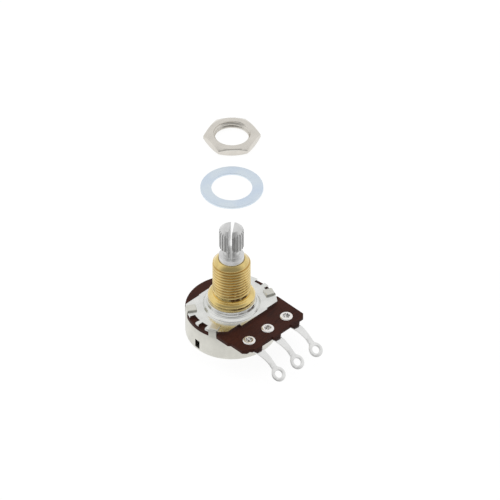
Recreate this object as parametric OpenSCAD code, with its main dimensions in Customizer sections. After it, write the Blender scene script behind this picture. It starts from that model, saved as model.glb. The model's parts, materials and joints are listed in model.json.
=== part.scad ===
// Rotary potentiometer for panel mounting, with its loose flat washer and hex nut.
// It stands on the back of its can with the shaft up. The shaft axis is Z, the can's back
// face is at Z = 0 and the three solder terminals point towards -Y. The washer and the nut
// lie on the same surface, behind the can. All sizes are in millimetres and degrees.

/* [Can] */
// Outer diameter of the can
can_d = 23.2; // [22.4:0.1:25]
// Height of the can from its back face to its rim
can_h = 7; // [6.8:0.1:9]
// Thickness of the can's sheet, its tabs included
can_wall = 0.5; // [0.3:0.05:0.6]
// Outer radius of the rounded edge round the can's back
can_edge_r = 0.9; // [0.7:0.1:1.3]
// Width of each of the four tabs that are folded over the mounting plate
tab_w = 2.1; // [1.5:0.1:2.4]
// Distance that each tab reaches inwards from the can's outer face
tab_reach = 2.6; // [1.8:0.1:3]
// Angle of the two front tabs below the X axis
tab_front_angle = 21; // [18:1:24]
// Angle of the two back tabs above the X axis
tab_back_angle = 33; // [30:1:38]
// Depth that the rim is cut down below the terminals
rim_relief = 1.4; // [1.2:0.1:1.8]
// Angle from each front tab to the part of the rim that is cut down
relief_land = 15; // [9:1:20]

/* [Stop in the can's side] */
// Angle of the window that the stop flap is lanced from
stop_angle = 178; // [172:1:184]
// Width of the window round the can
stop_w = 1.6; // [1.2:0.1:2]
// Height of the window
stop_h = 2.4; // [1.8:0.1:2.6]
// Height of the window's lower edge above the can's back face
stop_z = 1.1; // [1:0.1:1.3]
// Distance that the flap reaches inwards from the can's outer face
stop_reach = 2.1; // [1.8:0.1:2.4]
// Total angle that the shaft turns between its stops
travel = 300; // [270:5:305]

/* [Terminal board] */
// Thickness of the board
board_t = 1; // [0.8:0.1:1.4]
// Width of the board's front part
board_w = 20.8; // [19.6:0.1:21.2]
// Distance from the shaft axis to the board's straight front edge
board_front = 15.4; // [14.8:0.1:16.2]
// Size of the chamfers on the two front corners
board_chamfer = 0.9; // [0.5:0.1:1.4]
// Depth of the small steps at the left side and the left front corner
board_step = 0.55; // [0.3:0.05:0.8]
// Distance from the shaft axis to the step in the left side
board_step_y = 9.4; // [8.6:0.1:11]
// Distance that the front edge stands out over each terminal
tongue_out = 0.5; // [0.2:0.1:0.8]
// Width of the front edge over each terminal
tongue_w = 2.6; // [2.2:0.1:3.2]
// Diameter of the hole in the board's middle
board_hole_d = 7.4; // [7:0.1:8]

/* [Mounting plate] */
// Thickness of the plate's sheet
plate_t = 0.8; // [0.6:0.1:1.2]
// Distance from the can's outer face in to the plate's round sides
plate_inset = 0.15; // [0.1:0.05:0.4]
// Distance from the shaft axis to the back edge
plate_back = 7.9; // [7.8:0.1:8.6]
// Distance from the shaft axis to the front edge, right of its middle
plate_front = 7.35; // [7:0.05:7.8]
// Distance that the front edge is set back left of its middle
front_set_back = 0.5; // [0:0.1:0.8]
// Distance that the middle of the front edge stands out
front_middle_out = 0.35; // [0.1:0.05:0.6]
// Width of the middle of the front edge
front_middle_w = 9; // [8:0.1:10]
// Distance that the middle of the back edge stands out
back_middle_out = 0.2; // [0.1:0.05:0.6]
// Width of the middle of the back edge
back_middle_w = 7; // [5:0.1:9]
// Length along each edge by which the left front corner is cut off
corner_cut = 1; // [0.6:0.1:2]
// Depth of the notches in the plate's sides
notch_depth = 1.4; // [0.8:0.1:1.8]

/* [Raised boss on the plate] */
// Diameter of the boss where it leaves the plate
boss_base_d = 15; // [14.6:0.1:15.6]
// Diameter of the boss at its rounded step
boss_step_d = 13.7; // [13.4:0.1:14.2]
// Height of the rounded step above the plate
boss_step_h = 0.95; // [0.8:0.05:1.2]
// Diameter of the boss at its top
boss_top_d = 12.3; // [12:0.1:13]
// Height of the boss above the plate
boss_h = 2.2; // [2:0.1:3]

/* [Bushing] */
// Distance from the boss's edge in to the smooth shoulder that the panel rests on
hub_inset = 0.2; // [0.1:0.05:0.4]
// Height of the shoulder
hub_h = 1.8; // [1:0.1:3]
// Size of the chamfer round the shoulder's top
hub_chamfer = 0.6; // [0.1:0.05:0.7]
// Outside diameter of the thread
thread_d = 9.525; // [9.2:0.005:10]
// Length of the bushing from the shoulder to its nose
thread_h = 9.8; // [6:0.1:16]
// Distance from one groove of the thread to the next
thread_pitch = 0.88; // [0.7:0.02:1]
// Depth of the thread's grooves
thread_depth = 0.42; // [0.3:0.02:0.5]
// Length of the plain part between the shoulder and the thread
thread_relief = 1.3; // [1:0.1:2]
// Height of the chamfered nose above the thread
nose_h = 1.35; // [0.6:0.05:1.8]
// Diameter of the nose at its flat end
nose_d = 7; // [6.9:0.1:8.6]
// Distance that the lip below the boss is rolled out past the spigot
lip_out = 0.75; // [0.3:0.05:0.8]
// Gap between the lip and the inside of the boss
lip_gap = 0.25; // [0.2:0.05:0.4]
// Height of the rolled lip
lip_h = 0.4; // [0.3:0.05:0.5]

/* [Shaft] */
// Diameter of the shaft
shaft_d = 6.35; // [6:0.05:6.4]
// Distance that the plain shaft stands out of the bushing
shaft_out = 1.25; // [0.6:0.05:3]
// Diameter of the neck below the splines
neck_d = 4.3; // [4:0.1:5]
// Height of the tapers into and out of the neck
neck_taper_h = 0.25; // [0.2:0.05:0.8]
// Height of the neck between its tapers
neck_h = 2.05; // [0.3:0.05:3]
// Height of the splines with both their chamfers
spline_h = 6.5; // [5:0.1:10]
// Number of splines
spline_count = 24; // [18:1:40]
// Outside diameter over the splines
spline_d = 6.2; // [5.9:0.05:6.4]
// Depth of the grooves between the splines
spline_depth = 0.42; // [0.15:0.01:0.5]
// Diameter of the shaft's top face
top_d = 4.1; // [3.8:0.1:5.4]
// Height of the chamfer round the top face
top_chamfer_h = 0.95; // [0.3:0.05:1.2]
// Width of the slot that splits the splined end
slot_w = 1; // [0.5:0.05:1.1]
// Angle of the slot's plane from the X axis when the shaft is at mid travel
slot_angle = 37.5; // [0:0.5:179.5]

/* [Terminals and rivets] */
// Distance from one terminal to the next
pitch = 6.5; // [6.2:0.1:7]
// Distance from the shaft axis out to the row of rivets
rivet_y = 12.45; // [12.3:0.05:12.8]
// Distance that the row and the board's front part lie to the right of the shaft axis
row_offset = 0.4; // [0:0.1:0.6]
// Thickness of the terminals' sheet
terminal_t = 0.4; // [0.3:0.05:0.5]
// Diameter of a terminal's pad round its rivet
pad_d = 3.4; // [3:0.1:3.6]
// Width of a terminal where it leaves the board
terminal_w = 2.2; // [1.8:0.1:2.6]
// Width of a terminal next to its eye
terminal_neck_w = 1.6; // [1.4:0.1:2]
// Length of the flat part beyond the board's front edge
terminal_run = 0.9; // [0.6:0.1:1.6]
// Radius of the downward bend, on its outer face
terminal_bend_r = 7.3; // [6:0.1:9]
// Angle that the terminal's end slopes down
terminal_slope = 38; // [25:1:42]
// Length of the straight sloping part, as far as the eye's centre
terminal_straight = 2.8; // [2.4:0.1:3.4]
// Outside diameter of the eye
eye_d = 3.8; // [3.2:0.1:4.2]
// Diameter of the hole in the eye
eye_hole_d = 2; // [1.4:0.1:2.2]
// Diameter of a rivet's shank
rivet_d = 1.6; // [1.3:0.1:1.8]
// Diameter of a rivet's formed head
rivet_head_d = 3.26; // [2.8:0.02:3.6]
// Height of a rivet's formed head
rivet_head_h = 0.4; // [0.3:0.05:0.6]
// Diameter of a rivet's flat foot
rivet_foot_d = 2.8; // [2.4:0.1:3]
// Height of a rivet's flat foot
rivet_foot_h = 0.4; // [0.3:0.05:0.5]

/* [Inside the can] */
// Part of the way from the board's hole to the can's wall at which the track's middle lies
track_share = 0.635; // [0.6:0.005:0.66]
// Width of the resistive track
track_w = 1.9; // [1.4:0.1:2.2]
// Thickness of the resistive track
track_t = 0.15; // [0.1:0.05:0.2]
// Distance from the board's hole out to the collector ring
collector_inset = 0.5; // [0.3:0.05:0.7]
// Part of the board between the hole and the track that the collector ring covers
collector_share = 0.43; // [0.35:0.01:0.55]
// Thickness of the collector ring
collector_t = 0.2; // [0.1:0.05:0.3]
// Distance from the can's wall in to the rotor's disc
rotor_inset = 2.3; // [2.2:0.05:2.8]
// Thickness of the rotor's disc
rotor_t = 1.3; // [1:0.1:1.5]
// Diameter of the rotor's hub
rotor_hub_d = 7.8; // [7.2:0.1:8.2]
// Height of the rotor's hub
rotor_hub_h = 4.2; // [3.8:0.1:4.4]
// Thickness of the contact spring's sheet
spring_t = 0.2; // [0.1:0.05:0.25]
// Width of each of the contact spring's two arms
arm_w = 2; // [1.6:0.1:2.4]
// Thickness of the retaining ring
clip_t = 0.5; // [0.4:0.05:0.6]
// Outer diameter of the retaining ring
clip_d = 8.4; // [7.6:0.1:8.6]
// Thickness of the thrust washer
thrust_t = 0.25; // [0.15:0.05:0.3]
// Outer diameter of the thrust washer
thrust_d = 8.8; // [8.4:0.1:9]

/* [Loose washer and nut] */
// Outer diameter of the washer
washer_d = 16; // [14:0.1:18]
// Diameter of the washer's hole
washer_hole_d = 10.4; // [10:0.1:11]
// Thickness of the washer
washer_t = 0.6; // [0.4:0.05:1]
// Width of the nut across its flats
nut_af = 12.7; // [12:0.1:14.3]
// Height of the nut
nut_h = 2.3; // [1.8:0.1:3]
// Inside diameter of the nut's thread, at its crests
nut_bore_d = 8.7; // [8.5:0.05:8.9]
// Distance from the shaft axis to the washer's centre
washer_distance = 54.2; // [40:0.1:60]
// Distance from the washer's centre to the nut's centre
nut_spacing = 18.9; // [16.5:0.1:30]
// Direction in which the washer and the nut lie, from the X axis
loose_direction = 45.5; // [30:0.5:150]
// Angle that the nut's corners are turned from square to that direction
nut_turn = 2.5; // [-10:0.5:10]

/* [Hidden] */
$fn = 96;
// Clearance between pieces that pass through each other without turning
fit = 0.05;
// Radial clearance of the shaft in the bushing
running = 0.05;
// Clearance round the folded tabs
tab_gap = 0.1;
// Length by which cuts run past the faces that they open
over = 1;

can_r = can_d / 2;
can_inner_r = can_r - can_wall;
board_z = can_h;
plate_z = board_z + board_t;
plate_top = plate_z + plate_t;
boss_top = plate_top + boss_h;
hub_top = boss_top + hub_h;
thread_top = hub_top + thread_h;
bushing_top = thread_top + nose_h;
lip_bottom = boss_top - plate_t - lip_h;
// Thickness of the sheet where the boss is drawn
skin = 0.85 * plate_t;
hub_r = boss_top_d / 2 - hub_inset;
lip_r = boss_top_d / 2 - skin - lip_gap;
spigot_r = lip_r - lip_out;
shaft_r = shaft_d / 2;
neck_base = bushing_top + shaft_out;
spline_base = neck_base + 2 * neck_taper_h + neck_h;
shaft_top = spline_base - neck_taper_h + spline_h;
row = [-1, 0, 1];
tab_angles = [-tab_front_angle, tab_back_angle, 180 - tab_back_angle, 180 + tab_front_angle];

// Radii of the resistive track, the collector ring and the rotor's disc
track_r = board_hole_d / 2 + track_share * (can_inner_r - board_hole_d / 2);
collector_in_r = board_hole_d / 2 + collector_inset;
collector_w = collector_share * (track_r - track_w / 2 - collector_in_r);
collector_r = collector_in_r + collector_w / 2;
rotor_r = can_inner_r - rotor_inset;
// Radius of the rotor's stop sector, which clears the can's wall
sector_r = can_inner_r - 0.5;
// Side of the stop flap's tip that lies nearest to the window's middle
flap_tip_y = -0.1;
// Angles from the window's middle to the flap's two sides, where the stop sector meets them
flap_from = -asin((stop_w / 2 + can_wall) / sector_r);
flap_to = asin(flap_tip_y / (can_r - stop_reach));
flap_half = (flap_to - flap_from) / 2;
flap_middle = stop_angle + (flap_to + flap_from) / 2;
// Angle that is left between the sector and the flap at each end of the travel
stop_play = 1.5;
sector_half = 180 - travel / 2 - flap_half - stop_play;
sector_angle = flap_middle + 180;

// Gap between the can's floor and the shaft's staked foot
floor_gap = 0.5;
// Height of the staked foot, which holds the rotor
stake_h = 0.4;
// Height of the rotor's hub above the underside of its disc
hub_over_disc = 2;
stake_z = can_wall + floor_gap;
hub_z = stake_z + stake_h;
rotor_hub_top = hub_z + rotor_hub_h;
disc_z = rotor_hub_top - hub_over_disc;
disc_top = disc_z + rotor_t;
// Radius of the shaft's tenon in the rotor, and the distance of its flats from the axis
tenon_r = 2.6;
tenon_flat = 2.05;
// Axial play above and below the thrust washer
end_play = 0.05;
thrust_z = lip_bottom - end_play - thrust_t;
clip_z = thrust_z - end_play - clip_t;
// Radius at the bottom of the retaining ring's groove
groove_r = 2.4;
// Heights of the terminals' underside and of the rivets' feet
terminal_z = board_z - terminal_t;
foot_z = terminal_z - rivet_foot_h;

// Points of an arc round [x, y] from angle a to angle b
function arc(x, y, r, a, b, n = 8) =
    [for (i = [0:n]) let (t = a + (b - a) * i / n) [x + r * cos(t), y + r * sin(t)]];

// The solid swept between two heights of a 2D shape
module slab(z0, z1) translate([0, 0, z0]) linear_extrude(z1 - z0) children();

// A ring with a plain rectangular section
module ring(r_in, r_out, z0, z1) {
    difference() {
        translate([0, 0, z0]) cylinder(r = r_out, h = z1 - z0);
        translate([0, 0, z0 - over]) cylinder(r = r_in, h = z1 - z0 + 2 * over);
    }
}

// A sector of the plane between two angles, as a triangle that reaches past radius r
module wedge(a, b, r) {
    polygon(concat([[0, 0]], arc(0, 0, 1.3 * r, a, b, 4)));
}

// The openings in the board and in the plate that the four tabs pass through
module tab_openings() {
    for (a = tab_angles) rotate(a)
        translate([can_inner_r - tab_gap, -tab_w / 2 - tab_gap])
            square([can_wall + tab_gap + over, tab_w + 2 * tab_gap]);
}

// CAN

// Section of the drawn cup, from the axis to the rim
module can_section() {
    polygon(concat(
        [[0, 0]],
        arc(can_r - can_edge_r, can_edge_r, can_edge_r, -90, 0, 6),
        [[can_r, can_h], [can_inner_r, can_h]],
        arc(can_r - can_edge_r, can_edge_r, can_edge_r - can_wall, 0, -90, 6),
        [[0, can_wall]]
    ));
}

// One tab: it rises from the wall and folds flat over the plate
module can_tab() {
    outer = can_r * cos(asin(tab_w / 2 / can_r));
    fold_r = 1.2 * can_wall;
    top = plate_top + can_wall;
    tip = can_r - tab_reach;
    edge = 0.2;
    translate([0, tab_w / 2, 0]) rotate([90, 0, 0]) linear_extrude(tab_w)
        polygon(concat(
            [[can_inner_r, can_h - rim_relief], [outer, can_h - rim_relief]],
            arc(outer - fold_r, top - fold_r, fold_r, 0, 90, 6),
            [[tip + edge, top], [tip, top - edge], [tip, plate_top], [can_inner_r, plate_top]]
        ));
}

// The flap that is lanced from the window and bent inwards
module stop_flap() {
    tip = can_r - stop_reach;
    root = can_r - 0.6 * can_wall;
    knee = can_inner_r - 0.3;
    side = -stop_w / 2;
    slab(stop_z, stop_z + stop_h)
        polygon([
            [root, side - can_wall], [root, side], [knee, side + 0.1], [tip, flap_tip_y],
            [tip, flap_tip_y - can_wall], [knee, side - 0.8 * can_wall]
        ]);
}

module can_cover() {
    relief_angle = tab_front_angle + relief_land;
    color([0.78, 0.78, 0.74]) {
        difference() {
            union() {
                rotate_extrude() can_section();
                for (a = tab_angles) rotate(a) can_tab();
            }
            slab(can_h - rim_relief, can_h + over) wedge(relief_angle - 180, -relief_angle, can_r);
            rotate(stop_angle) translate([can_inner_r - over, -stop_w / 2, stop_z])
                cube([2 * over + can_wall, stop_w, stop_h]);
        }
        rotate(stop_angle) stop_flap();
    }
}

// TERMINAL BOARD

// The square part of the board, which carries the row of rivets
module board_front_outline() {
    right = row_offset + board_w / 2;
    left = row_offset - board_w / 2;
    slope_w = 0.4;
    end_x = row_offset - pitch - tongue_w / 2 - slope_w;
    polygon([
        [right, 0], [right, -board_front + board_chamfer],
        [right - board_chamfer, -board_front],
        [end_x, -board_front], [end_x - slope_w, -board_front + board_step],
        [left + board_chamfer, -board_front + board_step],
        [left, -board_front + board_step + board_chamfer],
        [left, -board_step_y - board_step],
        [left - board_step, -board_step_y], [left - board_step, 0]
    ]);
}

module terminal_board() {
    color([0.28, 0.17, 0.15]) difference() {
        union() {
            translate([0, 0, board_z]) cylinder(r = can_r, h = board_t);
            slab(board_z, plate_z) board_front_outline();
            for (i = row)
                translate([row_offset + i * pitch - tongue_w / 2, -board_front - tongue_out, board_z])
                    cube([tongue_w, tongue_out + over, board_t]);
        }
        translate([0, 0, board_z - over]) cylinder(d = board_hole_d, h = board_t + 2 * over);
        slab(board_z - over, plate_z + over) tab_openings();
        for (i = row) translate([row_offset + i * pitch, -rivet_y, board_z - over])
            cylinder(d = rivet_d + 2 * fit, h = board_t + 2 * over);
    }
}

// MOUNTING PLATE

// Notches in the sides, each from one angle to another
side_notches = [[-15, -8], [-1, 11], [160.5, 174], [179.5, 190]];
// Distance that the front edge's middle lies to the right of the shaft axis
front_middle_x = 0.5;
// Width over which the flat plate and the boss run into each other
boss_overlap = 0.1;

module plate_outline() {
    r = can_r - plate_inset;
    // The front edge's left part, and the corner that it would make with the round side
    left_front = plate_front - front_set_back;
    corner_x = -sqrt(r * r - left_front * left_front);
    middle_left = front_middle_x - front_middle_w / 2;
    difference() {
        intersection() {
            circle(r = r);
            union() {
                translate([-r, -left_front]) square([2 * r, left_front + plate_back]);
                translate([middle_left, -plate_front]) square([r - middle_left, plate_front]);
                translate([middle_left, -plate_front - front_middle_out])
                    square([front_middle_w, plate_front]);
                translate([-back_middle_w / 2, 0])
                    square([back_middle_w, plate_back + back_middle_out]);
            }
        }
        for (n = side_notches) difference() {
            wedge(n[0], n[1], can_r);
            circle(r = r - notch_depth);
        }
        polygon([
            [-r - over, -left_front - over], [corner_x + corner_cut, -left_front - over],
            [corner_x + corner_cut, -left_front], [corner_x, -left_front + corner_cut],
            [-r - over, -left_front + corner_cut + r + over + corner_x]
        ]);
        tab_openings();
        circle(r = boss_base_d / 2 - boss_overlap);
    }
}

// Section of the raised boss, from the spigot's hole out to the flat plate
module boss_section() {
    hole_r = spigot_r + fit;
    step_r = boss_step_d / 2;
    step_z = plate_top + boss_step_h;
    top_r = boss_top_d / 2;
    base_r = boss_base_d / 2;
    // The edge at the top and the two blending radii
    edge = 0.1;
    step_round = 0.25;
    foot_round = 0.38;
    polygon(concat(
        [[hole_r, boss_top], [top_r - edge, boss_top], [top_r, boss_top - edge]],
        [[top_r + 0.9 * step_round, step_z + step_round]],
        arc(step_r - step_round, step_z - 0.9 * step_round, step_round, 80, 10, 4),
        arc(base_r, plate_top + foot_round, foot_round, 185, 270, 4),
        [[base_r, plate_z], [step_r - skin + edge, plate_z], [step_r - skin - edge, step_z - skin],
         [top_r - skin, boss_top - plate_t], [hole_r, boss_top - plate_t]]
    ));
}

module mounting_plate() {
    color([0.80, 0.81, 0.80]) union() {
        slab(plate_z, plate_top) plate_outline();
        rotate_extrude() boss_section();
    }
}

// BUSHING

// Section of one ring groove of the thread at height z: a V with a narrow floor
module thread_groove(z) {
    r = thread_d / 2;
    half = 0.37 * thread_pitch;
    floor_half = 0.06 * thread_pitch;
    polygon([[r + over, z - half], [r, z - half], [r - thread_depth, z - floor_half],
        [r - thread_depth, z + floor_half], [r, z + half], [r + over, z + half]]);
}

module threaded_bushing() {
    bore_r = shaft_r + running;
    edge = 0.15;
    middle = (hub_top + thread_top) / 2;
    // Number of grooves that fit above and below the middle, with a plain land at the top
    land = 0.1;
    above = floor((thread_top - land - middle) / thread_pitch);
    below = floor((middle - hub_top - thread_relief) / thread_pitch);
    color([0.76, 0.62, 0.30]) rotate_extrude() difference() {
        polygon([
            [bore_r, lip_bottom], [lip_r, lip_bottom], [lip_r, lip_bottom + lip_h],
            [spigot_r, lip_bottom + lip_h], [spigot_r, boss_top],
            [hub_r, boss_top], [hub_r, hub_top - hub_chamfer], [hub_r - hub_chamfer, hub_top],
            [thread_d / 2, hub_top], [thread_d / 2, thread_top],
            [nose_d / 2, bushing_top], [bore_r + edge, bushing_top], [bore_r, bushing_top - edge]
        ]);
        for (i = [-below:above - 1]) thread_groove(middle + (i + 0.5) * thread_pitch);
    }
}

// SHAFT

// Outline across the splines: each one is a narrow land between two sloping flanks
module spline_outline() {
    step = 360 / spline_count;
    crest = spline_d / 2;
    root = crest - spline_depth;
    // Radius and part of a step at each corner of one spline
    corners = [[root, 0.03], [crest, 0.33], [crest, 0.67], [root, 0.97]];
    polygon([for (i = [0:spline_count - 1], p = corners)
        p[0] * [cos((i + p[1]) * step), sin((i + p[1]) * step)]]);
}

// Section that trims the splined end at its lower taper and its top chamfer
module spline_envelope() {
    crest = spline_d / 2;
    // Rise of the lower taper and of the top chamfer for each millimetre of radius
    taper_rise = 2 * neck_taper_h / (crest - neck_d / 2);
    chamfer_rise = top_chamfer_h / (crest - top_d / 2);
    polygon([
        [0, spline_base - neck_taper_h], [neck_d / 2, spline_base - neck_taper_h],
        [crest + over, spline_base + neck_taper_h + over * taper_rise],
        [crest + over, shaft_top - top_chamfer_h - over * chamfer_rise],
        [top_d / 2, shaft_top], [0, shaft_top]
    ]);
}

// The plain shaft, from its staked foot up to the neck
module shaft_section() {
    stake_r = tenon_r + 0.35;
    core_r = tenon_flat - 0.1;
    edge = 0.15;
    polygon([
        [0, stake_z], [stake_r - edge, stake_z], [stake_r, stake_z + edge], [stake_r, hub_z],
        [core_r, hub_z], [core_r, rotor_hub_top], [shaft_r, rotor_hub_top],
        [shaft_r, clip_z - end_play], [groove_r, clip_z - end_play],
        [groove_r, clip_z + clip_t + end_play], [shaft_r, clip_z + clip_t + end_play],
        [shaft_r, neck_base - 0.1], [shaft_r - 0.1, neck_base],
        [neck_d / 2, neck_base + neck_taper_h],
        [neck_d / 2, spline_base], [0, spline_base]
    ]);
}

// The tenon that drives the rotor, with its two flats, grown by a gap all round
module tenon(gap, z0, z1) {
    intersection() {
        translate([0, 0, z0]) cylinder(r = tenon_r + gap, h = z1 - z0);
        translate([-tenon_flat - gap, -shaft_d / 2, z0])
            cube([2 * (tenon_flat + gap), shaft_d, z1 - z0]);
    }
}

module shaft() {
    color([0.80, 0.81, 0.82]) difference() {
        union() {
            rotate_extrude() shaft_section();
            tenon(0, stake_z + stake_h / 2, rotor_hub_top + over);
            intersection() {
                slab(spline_base - neck_taper_h, shaft_top) spline_outline();
                rotate_extrude() spline_envelope();
            }
        }
        rotate(slot_angle) translate([-spline_d, -slot_w / 2, neck_base + neck_taper_h])
            cube([2 * spline_d, slot_w, shaft_top]);
    }
}

module retaining_ring() {
    opening_half = 30;
    color([0.55, 0.56, 0.58]) difference() {
        ring(groove_r + fit, clip_d / 2, clip_z, clip_z + clip_t);
        slab(clip_z - over, clip_z + clip_t + over) wedge(-opening_half, opening_half, clip_d);
    }
}

module thrust_washer() {
    color([0.70, 0.58, 0.30]) ring(shaft_r + fit, thrust_d / 2, thrust_z, thrust_z + thrust_t);
}

// ROTOR AND ITS CONTACT

module rotor() {
    sector_in_r = rotor_hub_d / 2 + 2;
    color([0.24, 0.20, 0.17]) difference() {
        union() {
            translate([0, 0, disc_z]) cylinder(r = rotor_r, h = rotor_t);
            translate([0, 0, hub_z]) cylinder(d = rotor_hub_d, h = rotor_hub_h);
            slab(hub_z, disc_top) intersection() {
                difference() {
                    circle(r = sector_r);
                    circle(r = sector_in_r);
                }
                wedge(sector_angle - sector_half, sector_angle + sector_half, sector_r);
            }
        }
        tenon(fit, hub_z - over, rotor_hub_top + over);
    }
}

// One sprung arm: it lies on the rotor at radius foot and rises to touch at radius tip
module spring_arm(foot, tip, touch_z) {
    out = tip > foot ? 1 : -1;
    top = touch_z - fit;
    // Half the length of the flat that touches, the length of the tip that bends down,
    // and the length of the foot that lies flat
    flat = 0.2 * out;
    hook = 0.6 * out;
    seat = 1.2 * out;
    translate([0, arm_w / 2, 0]) rotate([90, 0, 0]) linear_extrude(arm_w)
        polygon([
            [foot, disc_top], [foot + seat, disc_top], [tip - flat, top - spring_t],
            [tip + flat, top - spring_t], [tip + hook, top - 2.2 * spring_t],
            [tip + hook, top - 1.2 * spring_t], [tip + flat, top],
            [tip - 1.5 * flat, top], [foot + 0.9 * seat, disc_top + spring_t],
            [foot, disc_top + spring_t]
        ]);
}

module contact_spring() {
    hub_gap_r = rotor_hub_d / 2 + fit;
    base_w = 0.45 * (rotor_r - hub_gap_r);
    color([0.80, 0.68, 0.42]) difference() {
        union() {
            ring(hub_gap_r, hub_gap_r + base_w, disc_top, disc_top + spring_t);
            rotate(90) spring_arm(hub_gap_r + base_w - 1.2, track_r, board_z - track_t);
            rotate(-90) spring_arm(hub_gap_r + base_w + 1, collector_r, board_z - collector_t);
        }
        for (s = [-1, 1])
            translate([s * arm_w / 6 - spring_t / 2, hub_gap_r + base_w + 0.2, disc_top - over])
                cube([spring_t, track_r, board_z]);
    }
}

// TRACK AND COLLECTOR

module resistive_track() {
    r_out = track_r + track_w / 2;
    gap_half = 180 - travel / 2;
    end_x = track_r * sin(gap_half);
    end_y = -track_r * cos(gap_half);
    pad_y = -rivet_y + pad_d / 2;
    half_w = track_w / 2 - 0.05;
    color([0.10, 0.10, 0.10]) union() {
        difference() {
            ring(track_r - track_w / 2, r_out, board_z - track_t, board_z);
            slab(board_z - over, board_z + over) wedge(-90 - gap_half, -90 + gap_half, r_out);
        }
        for (s = [-1, 1]) {
            pad_x = row_offset + s * pitch;
            slab(board_z - track_t, board_z) polygon([
                [s * (end_x - 0.3), end_y + half_w], [s * (end_x + 1.2), end_y + 0.5],
                [pad_x + s * half_w, pad_y], [pad_x - s * half_w, pad_y], [s * (end_x - 0.3), end_y - 0.4]
            ]);
        }
    }
}

module collector_ring() {
    tail_y = -rivet_y + pad_d / 2;
    tail_w = 2;
    color([0.80, 0.72, 0.50]) union() {
        ring(collector_in_r, collector_in_r + collector_w, board_z - collector_t, board_z);
        translate([row_offset - tail_w / 2, tail_y, board_z - collector_t])
            cube([tail_w, -collector_r - tail_y, collector_t]);
    }
}

// TERMINALS AND RIVETS

// Start and end of the bend's outer face, and the centre of the eye's upper face, in Y and Z
bend_y = -board_front - terminal_run;
bend_z = board_z - terminal_bend_r;
bend_end = [bend_y, bend_z] + terminal_bend_r * [-sin(terminal_slope), cos(terminal_slope)];
eye = bend_end - terminal_straight * [cos(terminal_slope), sin(terminal_slope)];

// Side view of the strip, with Y across and Z up: flat, then bent down, then straight
module terminal_side() {
    down = [sin(terminal_slope), -cos(terminal_slope)] * terminal_t;
    a = 90 + terminal_slope;
    polygon(concat(
        [[-rivet_y, board_z]],
        arc(bend_y, bend_z, terminal_bend_r, 90, a),
        [eye, eye + down],
        arc(bend_y, bend_z, terminal_bend_r - terminal_t, a, 90),
        [[-rivet_y, terminal_z]]
    ));
}

// Plan view of the strip, which tapers towards its eye
module terminal_plan() {
    w = terminal_w / 2;
    n = terminal_neck_w / 2;
    polygon([[-w, -rivet_y], [-w, bend_y - 1], [-n, bend_end[0]], [-n, eye[0]],
        [n, eye[0]], [n, bend_end[0]], [w, bend_y - 1], [w, -rivet_y]]);
}

module terminal(i) {
    color([0.84, 0.85, 0.86]) translate([row_offset + i * pitch, 0, 0]) difference() {
        union() {
            intersection() {
                translate([-terminal_w, 0, 0]) rotate([90, 0, 90])
                    linear_extrude(2 * terminal_w) terminal_side();
                slab(0, board_z + over) terminal_plan();
            }
            translate([0, -rivet_y, terminal_z]) cylinder(d = pad_d, h = terminal_t);
            translate([0, eye[0], eye[1]]) rotate([terminal_slope, 0, 0])
                translate([0, 0, -terminal_t]) cylinder(d = eye_d, h = terminal_t);
        }
        translate([0, -rivet_y, terminal_z - over])
            cylinder(d = rivet_d + 2 * fit, h = terminal_t + 2 * over);
        translate([0, eye[0], eye[1]]) rotate([terminal_slope, 0, 0])
            translate([0, 0, -terminal_t - over])
                cylinder(d = eye_hole_d, h = terminal_t + 2 * over);
    }
}

// One rivet: flat foot below the terminal, shank, and a head formed on the board
module rivet(i) {
    r = rivet_head_d / 2;
    foot_r = rivet_foot_d / 2;
    edge = 0.1;
    // The head's profile from its rim to its dished middle, in parts of its radius and height
    head = [[1, 0], [1, 0.2], [0.93, 0.6], [0.72, 0.95], [0.55, 1], [0.38, 0.85], [0, 0.6]];
    color([0.86, 0.86, 0.85]) translate([row_offset + i * pitch, -rivet_y, 0])
        rotate_extrude() polygon(concat(
            [[0, foot_z], [foot_r - edge, foot_z], [foot_r, foot_z + edge], [foot_r, terminal_z]],
            [[rivet_d / 2, terminal_z], [rivet_d / 2, plate_z]],
            [for (p = head) [p[0] * r, plate_z + p[1] * rivet_head_h]]
        ));
}

module terminal_left() terminal(-1);
module terminal_centre() terminal(0);
module terminal_right() terminal(1);
module rivet_left() rivet(-1);
module rivet_centre() rivet(0);
module rivet_right() rivet(1);

// LOOSE WASHER AND NUT

// Moves what follows out along the direction in which the loose pieces lie
module laid_out(distance) rotate(loose_direction) translate([distance, 0, 0]) children();

module flat_washer() {
    r_in = washer_hole_d / 2;
    r_out = washer_d / 2;
    edge = washer_t / 5;
    color([0.78, 0.84, 0.88]) laid_out(washer_distance) rotate_extrude() polygon([
        [r_in, 0], [r_out - edge, 0], [r_out, edge], [r_out, washer_t - edge],
        [r_out - edge, washer_t], [r_in, washer_t]
    ]);
}

module hex_nut() {
    corner_r = nut_af / sqrt(3);
    face_r = 0.95 * nut_af / 2;
    bore_r = nut_bore_d / 2;
    slope_h = (corner_r - face_r) * tan(30);
    mouth = 0.35;
    color([0.78, 0.74, 0.68]) laid_out(washer_distance + nut_spacing) rotate(90 + nut_turn) difference() {
        intersection() {
            cylinder(r = corner_r, h = nut_h, $fn = 6);
            rotate_extrude() polygon([
                [0, 0], [face_r, 0], [corner_r, slope_h], [corner_r + over, slope_h],
                [corner_r + over, nut_h - slope_h], [corner_r, nut_h - slope_h], [face_r, nut_h], [0, nut_h]
            ]);
        }
        rotate_extrude() polygon([
            [0, -over], [bore_r + mouth, -over], [bore_r + mouth, 0], [bore_r, mouth],
            [bore_r, nut_h - mouth], [bore_r + mouth, nut_h], [bore_r + mouth, nut_h + over],
            [0, nut_h + over]
        ]);
    }
}

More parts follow.
